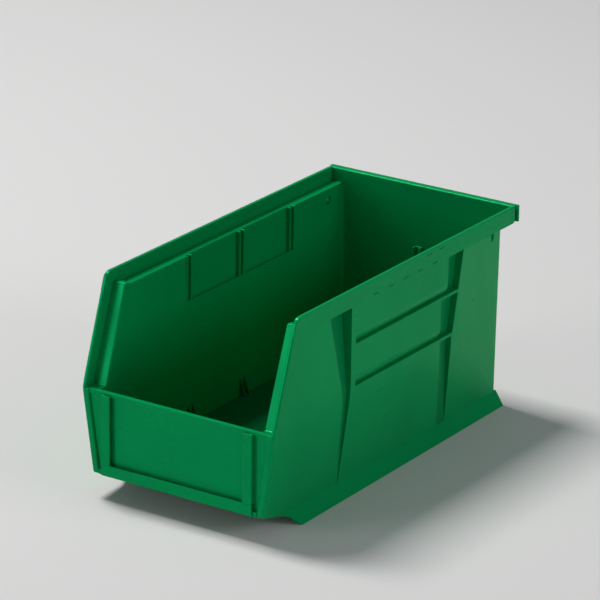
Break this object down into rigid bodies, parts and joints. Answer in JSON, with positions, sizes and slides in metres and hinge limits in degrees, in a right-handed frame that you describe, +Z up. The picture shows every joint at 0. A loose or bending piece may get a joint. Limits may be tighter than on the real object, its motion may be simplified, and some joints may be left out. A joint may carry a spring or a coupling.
{
  "type": "stackable storage bin",
  "caption": "Open-fronted stackable storage bin in moulded plastic, with a stacking rim, splayed feet, divider slots, a front label holder and a rear hang lip.",
  "frame": {"origin": "on the floor under the centre of the bin's overall box", "axes": "+Z up, +Y from the open front towards the hang lip at the back, +X to the right as seen from the front"},
  "size_m": [0.142, 0.2762, 0.136],
  "materials": {
    "moulded_plastic": "satin"
  },
  "bodies": {
    "root": {"back_divider_guide": "moulded_plastic", "back_rim": "moulded_plastic", "back_wall": "moulded_plastic", "floor_panel": "moulded_plastic", "front_lip": "moulded_plastic", "front_wall": "moulded_plastic", "hang_lip_flange": "moulded_plastic", "hang_lip_top": "moulded_plastic", "label_holder_bottom_strip": "moulded_plastic", "label_holder_left_strip": "moulded_plastic", "label_holder_right_strip": "moulded_plastic", "left_back_divider_slot": "moulded_plastic", "left_back_floor_guide": "moulded_plastic", "left_back_groove_web": "moulded_plastic", "left_back_side_panel": "moulded_plastic", "left_foot": "moulded_plastic", "left_front_divider_slot": "moulded_plastic", "left_front_edge_flange": "moulded_plastic", "left_front_floor_guide": "moulded_plastic", "left_front_groove_web": "moulded_plastic", "left_front_side_panel": "moulded_plastic", "left_lower_side_panel": "moulded_plastic", "left_lower_side_rib": "moulded_plastic", "left_middle_divider_slot": "moulded_plastic", "left_middle_floor_guide": "moulded_plastic", "left_middle_side_panel": "moulded_plastic", "left_rim": "moulded_plastic", "left_side_post": "moulded_plastic", "left_side_wall": "moulded_plastic", "left_sloping_ledge": "moulded_plastic", "left_sloping_rim": "moulded_plastic", "left_stacking_ledge": "moulded_plastic", "left_upper_side_panel": "moulded_plastic", "left_upper_side_rib": "moulded_plastic", "left_wall_corner": "moulded_plastic", "right_back_divider_slot": "moulded_plastic", "right_back_floor_guide": "moulded_plastic", "right_back_groove_web": "moulded_plastic", "right_back_side_panel": "moulded_plastic", "right_foot": "moulded_plastic", "right_front_divider_slot": "moulded_plastic", "right_front_edge_flange": "moulded_plastic", "right_front_floor_guide": "moulded_plastic", "right_front_groove_web": "moulded_plastic", "right_front_side_panel": "moulded_plastic", "right_lower_side_panel": "moulded_plastic", "right_lower_side_rib": "moulded_plastic", "right_middle_divider_slot": "moulded_plastic", "right_middle_floor_guide": "moulded_plastic", "right_middle_side_panel": "moulded_plastic", "right_rim": "moulded_plastic", "right_side_post": "moulded_plastic", "right_side_wall": "moulded_plastic", "right_sloping_ledge": "moulded_plastic", "right_sloping_rim": "moulded_plastic", "right_stacking_ledge": "moulded_plastic", "right_upper_side_panel": "moulded_plastic", "right_upper_side_rib": "moulded_plastic", "right_wall_corner": "moulded_plastic"}
  },
  "joints": []
}
